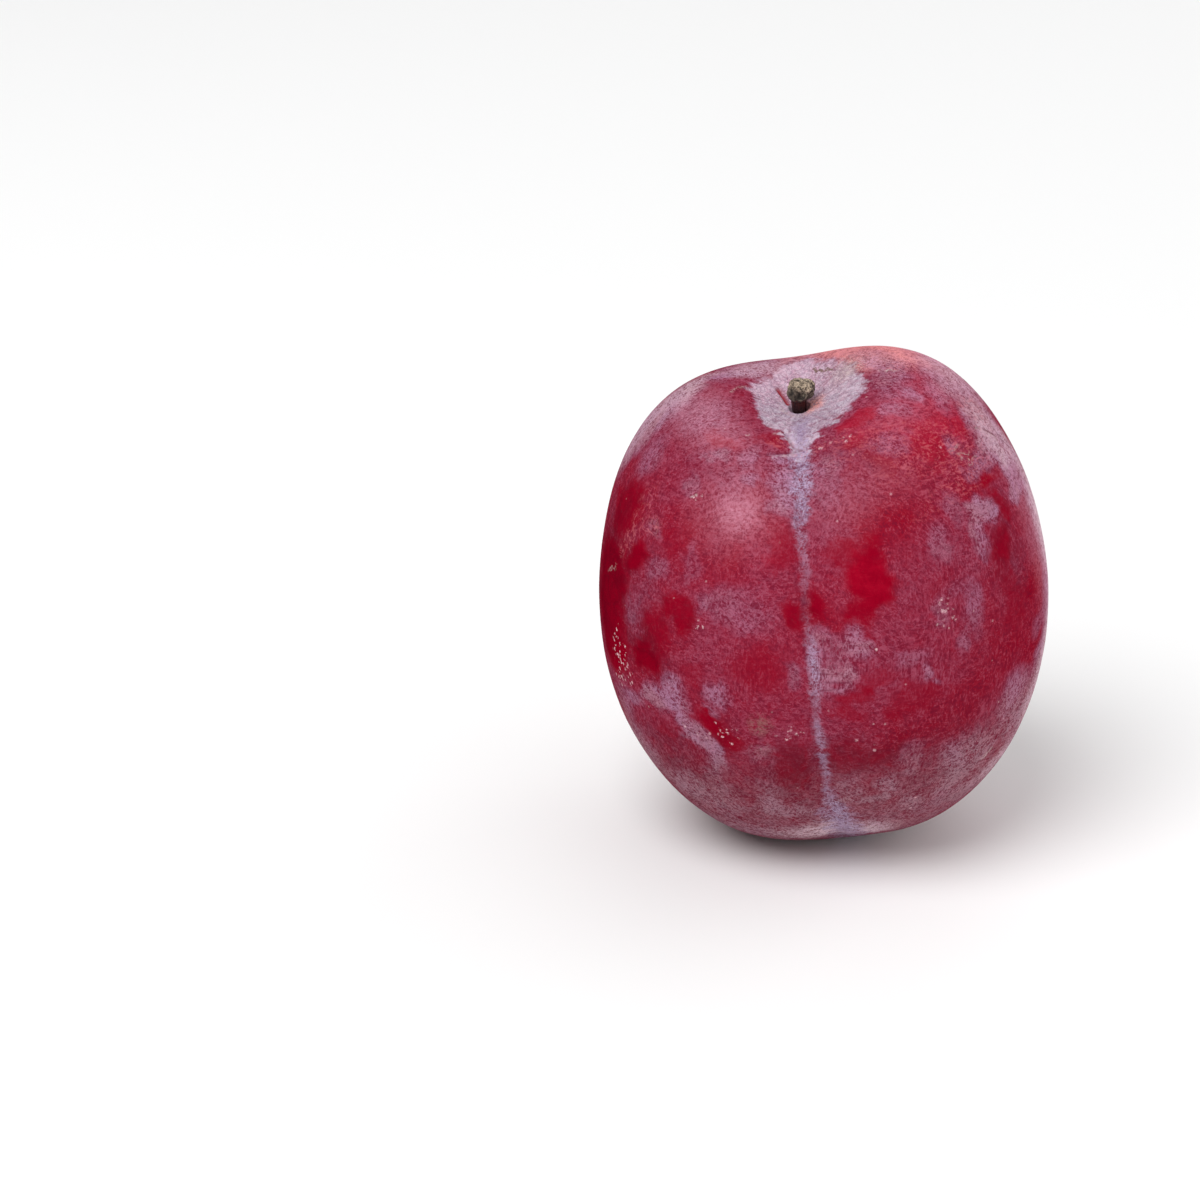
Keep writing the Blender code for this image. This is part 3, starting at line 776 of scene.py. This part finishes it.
class Nodes:
    """Short names for the shader nodes that a material is built from."""

    def __init__(self, name):
        self.material = bpy.data.materials.new(name)
        self.material.use_nodes = True
        self.tree = self.material.node_tree
        self.shader = self.tree.nodes["Principled BSDF"]
        self.place = self.tree.nodes.new("ShaderNodeTexCoord").outputs["Object"]

    def add(self, kind, settings, inputs):
        node = self.tree.nodes.new(kind)
        for key, value in settings.items():
            setattr(node, key, value)
        for key, value in inputs.items():
            if isinstance(value, bpy.types.NodeSocket):
                self.tree.links.new(value, node.inputs[key])
            else:
                node.inputs[key].default_value = value
        return node

    def mask(self, name, weight=None):
        """A mask of the mesh, times the weight if there is one."""
        value = self.add("ShaderNodeAttribute", {"attribute_name": name}, {}).outputs["Fac"]
        return self.times(value, weight) if weight else value

    def stretched(self, scale, turn=(0.0, 0.0, 0.0)):
        """The place, turned by the angles in radians and then scaled."""
        turned = self.add("ShaderNodeMapping", {}, {"Vector": self.place, "Rotation": turn}).outputs[0]
        return self.add("ShaderNodeMapping", {}, {"Vector": turned, "Scale": scale}).outputs[0]

    def noise(self, size_mm, detail, roughness, distortion=0.0, place=None):
        inputs = {
            "Vector": place or self.place,
            "Scale": 1 / (size_mm * MM),
            "Detail": detail,
            "Roughness": roughness,
            "Distortion": distortion,
        }
        return self.add("ShaderNodeTexNoise", {}, inputs).outputs["Fac"]

    def cells(self, size_mm):
        """How far the nearest of scattered points is, and a colour of its own for each of them."""
        inputs = {"Vector": self.place, "Scale": 1 / (size_mm * MM)}
        node = self.add("ShaderNodeTexVoronoi", {}, inputs)
        return node.outputs["Distance"], node.outputs["Color"]

    def math(self, operation, first, second=0.0):
        return self.add("ShaderNodeMath", {"operation": operation}, {0: first, 1: second}).outputs[0]

    def plus(self, first, second):
        return self.math("ADD", first, second)

    def less(self, first, second):
        return self.math("SUBTRACT", first, second)

    def times(self, first, second):
        return self.math("MULTIPLY", first, second)

    def most(self, first, second):
        return self.math("MAXIMUM", first, second)

    def least(self, first, second):
        return self.math("MINIMUM", first, second)

    def rest(self, value):
        """What is left of 1."""
        return self.less(1.0, value)

    def line(self, start, value, slope):
        """start, plus slope times the value."""
        return self.plus(start, self.times(value, slope))

    def sum(self, *parts):
        """The sum of values, each times its weight."""
        total = 0.0
        for value, weight in parts:
            total = self.line(total, value, weight)
        return total

    def step(self, value, low, high, top=1.0):
        """0 below low, smoothly up to top above high."""
        inputs = {"Value": value, "From Min": low, "From Max": high, "To Min": 0.0, "To Max": top}
        settings = {"interpolation_type": "SMOOTHSTEP"}
        return self.add("ShaderNodeMapRange", settings, inputs).outputs["Result"]

    def swing(self, *parts):
        """The sum of noises about their middle, each times its weight."""
        total = 0.0
        for noise, weight in parts:
            part = self.times(self.less(noise, 0.5), weight)
            total = self.plus(total, part)
        return total

    def strokes(self, table, wander):
        """Lines between points in degrees on the skin, whose course strays with the wander noise."""
        total = 0.0
        round_mm, above_mm = self.mask("round_mm"), self.mask("above_mm")
        for round_0, above_0, round_1, above_1, half_width, strength in table:
            narrowing = math.cos(math.radians((above_0 + above_1) / 2))
            start = Vector((round_0 * narrowing, above_0)) * ARC_MM
            end = Vector((round_1 * narrowing, above_1)) * ARC_MM
            middle, course = (start + end) / 2, (end - start)
            length = course.length
            course.normalize()
            side = self.less(self.times(round_mm, narrowing), middle.x)
            rise = self.less(above_mm, middle.y)
            along = self.sum((side, course.x), (rise, course.y))
            across = self.sum((side, -course.y), (rise, course.x), (wander, STROKE_WANDER))
            off_line = self.math("ABSOLUTE", self.plus(across, -STROKE_WANDER / 2))
            off_line = self.step(off_line, 0.0, half_width * STROKE_SOFTNESS)
            fading, ended = (length * share for share in STROKE_END)
            past_end = self.step(self.math("ABSOLUTE", along), fading, ended)
            line = self.times(self.rest(off_line), strength)
            total = self.most(total, self.times(line, self.rest(past_end)))
        return total

    def ridges(self, noise, half_width):
        """1 along the winding lines where a noise passes its middle, down to 0 beside them."""
        off = self.math("ABSOLUTE", self.less(noise, 0.5))
        return self.rest(self.step(off, 0.0, half_width))

    def clamp(self, value):
        return self.add("ShaderNodeClamp", {}, {"Value": value}).outputs[0]

    def mix(self, share, first, second):
        """A value between two others."""
        node = self.add("ShaderNodeMix", {"data_type": "FLOAT"}, {0: share, 2: first, 3: second})
        return node.outputs[0]

    def blend(self, share, first, second):
        """A colour between two others."""
        first, second = ((*end, 1) if isinstance(end, tuple) else end for end in (first, second))
        node = self.add("ShaderNodeMix", {"data_type": "RGBA"}, {0: share, 6: first, 7: second})
        return node.outputs[2]

    def link(self, output, name):
        self.tree.links.new(output, self.shader.inputs[name])

    def bump(self, height, distance_mm, below=None):
        inputs = {"Height": height, "Distance": distance_mm * MM, "Strength": 1.0}
        if below:
            inputs["Normal"] = below
        return self.add("ShaderNodeBump", {}, inputs).outputs["Normal"]


CLEAN_RED = (0.243, 0.0002, 0.011)
# Darker red, also used as painted shade
DEEP_RED_AND_SHADE = (0.132, 0.0010, 0.009)
SCARLET = (0.35, 0.003, 0.019)
CORAL = (0.78, 0.27, 0.26)
WAX_THIN = (0.41, 0.245, 0.42)
WAX_LILAC = (0.46, 0.27, 0.43)
WAX_PINK = (0.47, 0.255, 0.35)
WAX_LOW = (0.43, 0.285, 0.33)
# Pale dry wax, also the painted rim reflection along the edges
PALE_WAX_AND_RIM_SHEEN = (0.69, 0.51, 0.57)
# The pale pink of the painted highlights
PAINTED_HIGHLIGHT_PINK = (0.66, 0.31, 0.42)
SUTURE_BLUE = (0.45, 0.36, 0.52)
CAVITY_LILAC = (0.61, 0.51, 0.61)
CAVITY_PINK = (0.70, 0.45, 0.57)
CREAM = (0.60, 0.47, 0.46)
# Bare skin, its pink made lighter as painted light against the shade under the knob
BARE_PINK_PAINTED_LIGHTER = (0.98, 0.45, 0.42)
RUSSET = (0.13, 0.075, 0.042)
SMEAR = (0.26, 0.12, 0.11)
SPECK_PALE = (0.74, 0.46, 0.50)
STREAK_PINK = (0.56, 0.13, 0.15)
THREAD_PINK = (0.54, 0.13, 0.20)
# Dark threads in the skin, and the painted shade along folds and cracks
THREAD_DARK_AND_FOLD_SHADE = (0.12, 0.010, 0.030)
NET_PURPLE = (0.14, 0.045, 0.11)
SLIT_RED = (0.28, 0.012, 0.020)

# The neck's dark shade, and reddish streaks that are painted highlights along its fibres
NECK_SHADE = (0.022, 0.002, 0.003)
NECK_RED_HIGHLIGHT = (0.085, 0.010, 0.008)
FOOT_SHADE = (0.016, 0.002, 0.003)
BARK_GREY = (0.028, 0.026, 0.024)
BARK_BROWN = (0.14, 0.115, 0.088)
CROWN_BROWN = (0.19, 0.135, 0.095)
CROWN_TAN = (0.58, 0.46, 0.34)
FURROW_SHADE = (0.022, 0.016, 0.012)
CRACK_SHADE = (0.014, 0.009, 0.007)

CRISP = (0.36, 0.64)  # the middle of a noise's range, spread from 0 to 1
BARK_CRISP = (0.38, 0.62)
UPRIGHT = (1.0, 1.0, 0.24)
LEVEL = (0.26, 0.26, 1.0)
LEANING = (0.0, 0.9, 0.0)  # radians

SKIN_SHINE = 0.0
BARK_SHINE = 0.30
SKIN_BUMP = 0.020  # mm
BARK_BUMP = 0.05


def skin_noises(n):
    """The noises that the skin's layers share, by name."""
    w = SimpleNamespace()
    worms = n.ridges(n.noise(0.62, 1.5, 0.5, 0.8), 0.085)
    strands = n.ridges(n.noise(0.46, 1.5, 0.5, 0.6, n.stretched((1.0, 1.0, 0.42))), 0.085)
    leaning = n.noise(0.30, 3.0, 0.6, 0.8, n.stretched(UPRIGHT, LEANING))
    turned = n.step(n.noise(7.0, 2.0, 0.5), 0.42, 0.58)
    crossed = n.step(n.noise(6.0, 2.0, 0.5, 0.5), 0.45, 0.60)
    w.grain = n.step(n.noise(0.26, 2.0, 0.5, 0.8), *CRISP)
    w.curds = n.step(n.noise(0.85, 4.0, 0.62, 1.2), *CRISP)
    w.coarse = n.step(n.noise(2.2, 6.0, 0.66, 1.0), 0.34, 0.66)
    w.patchy = n.noise(5.0, 3.0, 0.5, 0.5)
    w.upright = n.noise(0.30, 3.0, 0.6, 0.8, n.stretched(UPRIGHT))
    w.level = n.noise(0.30, 3.0, 0.6, 0.8, n.stretched(LEVEL))
    w.fibre = n.step(n.mix(crossed, n.mix(turned, w.upright, leaning), w.level), *CRISP)
    w.curly = n.mix(turned, strands, worms)
    w.mottle = n.swing(
        (w.grain, 0.45), (w.curly, 0.60), (w.fibre, 0.40), (w.curds, 0.35), (w.coarse, 0.25)
    )
    return w


def flesh_layers(n, w):
    """The bare skin: darker in places, partly as painted shade, brighter in places, and coral behind
    the stem.
    """
    deep = n.step(n.plus(n.mask("deep"), n.swing((w.coarse, 0.35), (w.fibre, 0.10))), 0.05, 1.05)
    bright = n.step(n.plus(n.mask("bright"), n.swing((w.coarse, 0.35), (w.fibre, 0.12))), 0.14, 1.1)
    coral = n.plus(1.0, n.swing((w.coarse, 0.7), (w.fibre, 0.7)))
    coral = n.step(n.times(n.mask("coral"), coral), 0.0, 1.0, 0.92)
    return [(deep, DEEP_RED_AND_SHADE), (bright, SCARLET), (coral, CORAL)]


def wax_layers(n, w):
    """The wax, bitten by its own grain everywhere but round the stem. Later layers read it from w."""
    w.loose = n.rest(n.mask("cavity", 0.60))
    bite = n.times(n.least(w.mottle, 0.22), w.loose)
    wax = n.times(n.mask("wax"), n.line(1.30, bite, 1.3))
    wax = n.least(wax, n.mix(n.mask("cavity"), 0.66, 1.0))
    rays = n.times(n.less(n.mask("rays"), 0.5), n.mask("cavity"))
    wax = n.clamp(n.line(wax, rays, 0.60))
    thick = n.blend(n.step(w.patchy, 0.35, 0.65), WAX_LILAC, WAX_PINK)
    tint = n.blend(n.step(wax, 0.05, 0.55), WAX_THIN, thick)
    tint = n.blend(n.mask("low", 0.75), tint, WAX_LOW)
    pinker = n.plus(n.step(w.curds, 0.2, 0.9, 0.45), n.mask("behind", 0.50))
    round_stem = n.blend(n.clamp(pinker), CAVITY_LILAC, CAVITY_PINK)
    tint = n.blend(n.mask("cavity"), tint, round_stem)
    # Painted highlight: soft pale pink where the light's sheen falls on the skin
    painted_highlight = n.clamp(n.times(n.mask("painted_highlight"), n.line(1.0, w.mottle, 0.6)))
    # Pale dry wax, and the painted rim reflection along the fruit's edges
    w.dry = n.clamp(n.times(n.mask("pale"), n.line(1.0, bite, 0.8)))
    w.suture = n.clamp(n.times(n.mask("suture"), n.line(1.0, n.least(w.mottle, 0.25), 1.1)))
    w.dusty = n.most(wax, w.suture)
    return [(wax, tint), (painted_highlight, PAINTED_HIGHLIGHT_PINK), (w.dry, PALE_WAX_AND_RIM_SHEEN), (w.suture, SUTURE_BLUE)]


def blemish_layers(n, w):
    """Dry and bare skin beside the stem, and brown smears."""
    cream = n.times(n.mask("cream"), n.step(n.plus(w.grain, n.mask("cream")), 0.3, 1.2))
    # Bare pink skin, lighter than it is, as painted light in the socket's shade
    bare = n.times(n.mask("bare"), n.step(w.grain, -0.4, 0.6))
    smear = n.times(n.mask("smear"), n.step(w.curds, 0.0, 0.8, 0.68))
    return [(cream, CREAM), (bare, BARE_PINK_PAINTED_LIGHTER), (smear, SMEAR)]


def speck_layers(n, w):
    """Streaks, and pale specks and small flecks."""
    distance, random = n.cells(1.9)
    dot = n.rest(n.step(distance, 0.04, 0.10))
    dots = n.times(dot, n.step(random, 0.66, 0.76, 0.40))
    near, pick = n.cells(0.60)
    ragged = n.plus(near, n.swing((w.grain, 0.30)))
    fleck = n.rest(n.step(ragged, 0.18, 0.36))
    flecks = n.times(fleck, n.step(n.plus(pick, n.mask("specks")), 0.98, 1.25, 0.85))
    specks = n.most(dots, flecks)
    streak = n.most(n.step(w.upright, 0.54, 0.64), n.step(w.level, 0.55, 0.64))
    streaks = n.times(streak, n.mask("scratches", 0.60))
    w.raised = n.most(specks, streaks)
    return [(streaks, STREAK_PINK), (specks, SPECK_PALE)]


def thread_layers(n, w):
    """Dark and light threads all over, fewest where the red is clean."""
    threads = n.swing((w.curly, 0.7), (w.fibre, 0.8), (w.grain, 0.3))
    clean = n.most(n.mask("rubbed", 0.93), n.mask("cavity", 0.6))
    room = n.rest(n.most(clean, n.mask("painted_highlight", 1.1)))
    dim = n.times(n.step(n.times(threads, -1.0), 0.0, 0.8, 0.55), room)
    lit = n.times(n.step(threads, 0.0, 0.7, 0.22), room)
    return [(dim, THREAD_DARK_AND_FOLD_SHADE), (lit, THREAD_PINK)]


def line_layers(n, w):
    """Hair-thin dark lines in the wax, painted shade along the folds and cracks, the net on thick
    bloom, and pale edges.
    """
    web = n.ridges(n.noise(0.80, 3.0, 0.6, 1.2), 0.030)
    scuffs = n.ridges(n.noise(0.9, 4.0, 0.6, 1.2, n.stretched((0.30, 0.30, 1.0))), 0.022)
    hairs = n.most(web, n.times(scuffs, n.step(w.patchy, 0.45, 0.58)))
    hairs = n.times(hairs, n.step(w.dusty, 0.02, 0.30, 0.50))
    bitten = n.times(n.most(n.times(w.mottle, -1.3), 0.0), w.loose)
    hairs = n.most(hairs, n.times(bitten, n.step(n.mask("wax"), 0.02, 0.20, 0.30)))
    hairs = n.times(hairs, n.rest(n.times(w.dry, 0.7)))
    # Painted shade: the folds and the suture's cracks are darkened along their lines
    folds = n.most(n.strokes(DARK_STROKES, w.patchy), n.mask("crease"))
    folds = n.times(folds, n.line(0.40, w.curds, 0.4))
    dark = n.most(hairs, folds)
    net = n.ridges(n.noise(0.66, 2.5, 0.6, 1.2), 0.10)
    net = n.times(net, n.most(n.mask("cavity", 0.85), n.times(w.suture, 1.2)))
    net = n.times(net, n.step(w.coarse, -0.3, 0.9, 0.62))
    edges = n.times(n.strokes(PALE_STROKES, w.coarse), n.line(0.30, w.curds, 0.5))
    w.sunk = n.most(dark, net)
    return [(dark, THREAD_DARK_AND_FOLD_SHADE), (net, NET_PURPLE), (edges, CREAM)]


def scar_layers(n, w):
    scar = n.step(n.plus(n.mask("scar"), n.swing((w.grain, 0.6))), 0.40, 0.80, 0.80)
    return [(n.mask("slit", 0.95), SLIT_RED), (scar, RUSSET)]


def skin_material():
    n = Nodes("plum_skin")
    w = skin_noises(n)
    layers = flesh_layers(n, w) + wax_layers(n, w) + blemish_layers(n, w) + speck_layers(n, w)
    layers += thread_layers(n, w) + line_layers(n, w) + scar_layers(n, w)
    colour = CLEAN_RED
    for share, tint in layers:
        colour = n.blend(share, colour, tint)
    n.link(colour, "Base Color")

    roughness = n.plus(n.step(w.dusty, 0.0, 0.5, 0.30), n.swing((w.grain, 0.10)))
    n.link(n.plus(0.42, roughness), "Roughness")

    low = n.bump(n.line(w.coarse, w.fibre, 0.5), SKIN_BUMP)
    high = n.line(n.times(w.grain, n.plus(0.30, w.dusty)), w.raised, 0.4)
    high = n.less(high, n.times(w.sunk, 1.5))
    n.link(n.bump(high, SKIN_BUMP, low), "Normal")

    n.shader.inputs["Specular IOR Level"].default_value = SKIN_SHINE
    return n.material


def bark_material():
    n = Nodes("stem_bark")
    grain = n.step(n.noise(0.16, 3.0, 0.6, 0.4), *CRISP)
    patchy = n.step(n.noise(0.7, 4.0, 0.6, 0.8), *BARK_CRISP)
    fibre = n.step(n.noise(0.22, 3.0, 0.6, 0.6, n.stretched((1.0, 1.0, 0.25))), *BARK_CRISP)
    cracks = n.ridges(n.noise(0.85, 2.0, 0.5, 1.5), 0.075)
    # Painted highlights: reddish streaks along the neck's fibres over its dark shade
    neck = n.blend(fibre, NECK_SHADE, NECK_RED_HIGHLIGHT)
    neck = n.blend(n.mask("foot"), neck, FOOT_SHADE)
    side = n.blend(patchy, BARK_GREY, BARK_BROWN)
    crown = n.blend(grain, CROWN_BROWN, CROWN_TAN)
    # The knob is paler towards its top and right side, on its crests and in patches
    paler = n.clamp(n.sum((n.mask("top"), 0.85), (n.mask("crest"), 0.45), (patchy, 0.15)))
    knob = n.blend(paler, side, crown)
    knob = n.blend(n.mask("furrow", 0.90), knob, FURROW_SHADE)
    knob = n.blend(n.times(cracks, 0.92), knob, CRACK_SHADE)
    edge = n.plus(n.mask("knob"), n.swing((patchy, 0.3)))
    on_knob = n.step(edge, 0.45, 0.75)
    n.link(n.blend(on_knob, neck, knob), "Base Color")
    n.link(n.line(0.40, on_knob, 0.42), "Roughness")
    height = n.sum((grain, 0.4), (fibre, 0.4), (cracks, -0.8))
    n.link(n.bump(height, BARK_BUMP), "Normal")
    n.shader.inputs["Specular IOR Level"].default_value = BARK_SHINE
    return n.material


# ------ floor, lights and camera

CAMERA_ABOVE = 20.0  # degrees
LENS_MM = 105.0
VIEW_WIDTH = 0.138  # metres across the frame, at the plum
PLUM_ACROSS = 0.1858  # of that width, from the frame's middle right to the plum's, and up to it
PLUM_UP = 0.0058
SENSOR_MM = 36.0
FLOOR_SIZE = 6
FLOOR_WHITE = 0.90
# Each round lamp's name, direction from the plum, width in metres and strength in watts
LAMPS = (
    ("key", (-0.38, -0.48, 0.79), 1.20, 18.8),
    ("fill", (0.85, -0.50, 0.25), 1.0, 1.5),
    ("back", (0.10, 0.80, 0.60), 1.0, 2.0),
    ("rim", (0.82, 0.55, 0.22), 1.0, 5.5),
)
LAMP_DISTANCE = 1.5
# The surrounding light's strength from left to right, 1 being straight to the side
WORLD_ACROSS = {"From Min": -0.9, "From Max": 0.9, "To Min": 0.20, "To Max": 0.84}


def make_stage():
    bpy.ops.mesh.primitive_plane_add(size=FLOOR_SIZE)
    floor = bpy.context.object
    floor.name = "floor"
    n = Nodes("floor_white")
    n.shader.inputs["Base Color"].default_value = (FLOOR_WHITE, FLOOR_WHITE, FLOOR_WHITE, 1)
    n.shader.inputs["Roughness"].default_value = 0.8
    n.shader.inputs["Specular IOR Level"].default_value = 0.1
    floor.data.materials.append(n.material)


def make_lamp(name, middle, direction, size, watts):
    light = bpy.data.lights.new(name, "AREA")
    light.shape = "DISK"
    light.size = size
    light.energy = watts
    lamp = bpy.data.objects.new(name, light)
    bpy.context.scene.collection.objects.link(lamp)
    direction = Vector(direction).normalized()
    lamp.location = middle + direction * LAMP_DISTANCE
    lamp.rotation_euler = direction.to_track_quat("Z", "Y").to_euler()


def make_camera(middle):
    above = math.radians(CAMERA_ABOVE)
    back = Vector((0, -math.cos(above), math.sin(above)))
    right = Vector((1, 0, 0))
    up = back.cross(right)
    target = middle - right * PLUM_ACROSS * VIEW_WIDTH - up * PLUM_UP * VIEW_WIDTH
    camera = bpy.data.objects.new("camera", bpy.data.cameras.new("camera"))
    camera.data.lens = LENS_MM
    camera.data.sensor_width = SENSOR_MM
    camera.data.clip_start = 0.01
    camera.location = target + back * VIEW_WIDTH * LENS_MM / SENSOR_MM
    camera.rotation_euler = Matrix((right, up, back)).transposed().to_euler()
    bpy.context.scene.collection.objects.link(camera)
    bpy.context.scene.camera = camera


def make_studio(middle):
    for name, direction, size, watts in LAMPS:
        make_lamp(name, middle, direction, size, watts)
    world = bpy.data.worlds.new("studio")
    world.use_nodes = True
    nodes, links = world.node_tree.nodes, world.node_tree.links
    place = nodes.new("ShaderNodeTexCoord")
    parts = nodes.new("ShaderNodeSeparateXYZ")
    across = nodes.new("ShaderNodeMapRange")
    for key, value in WORLD_ACROSS.items():
        across.inputs[key].default_value = value
    links.new(place.outputs["Generated"], parts.inputs[0])
    links.new(parts.outputs["X"], across.inputs["Value"])
    links.new(across.outputs["Result"], nodes["Background"].inputs["Strength"])
    nodes["Background"].inputs["Color"].default_value = (1, 1, 1, 1)
    bpy.context.scene.world = world
    bpy.context.scene.view_settings.view_transform = "Standard"


def main():
    fruit = make_fruit()
    fruit.data.materials.append(skin_material())
    stem = make_stem()
    stem.data.materials.append(bark_material())
    middle = (CAD_BOX[0] + CAD_BOX[1]) / 2
    make_stage()
    make_camera(middle)
    make_studio(middle)


main()
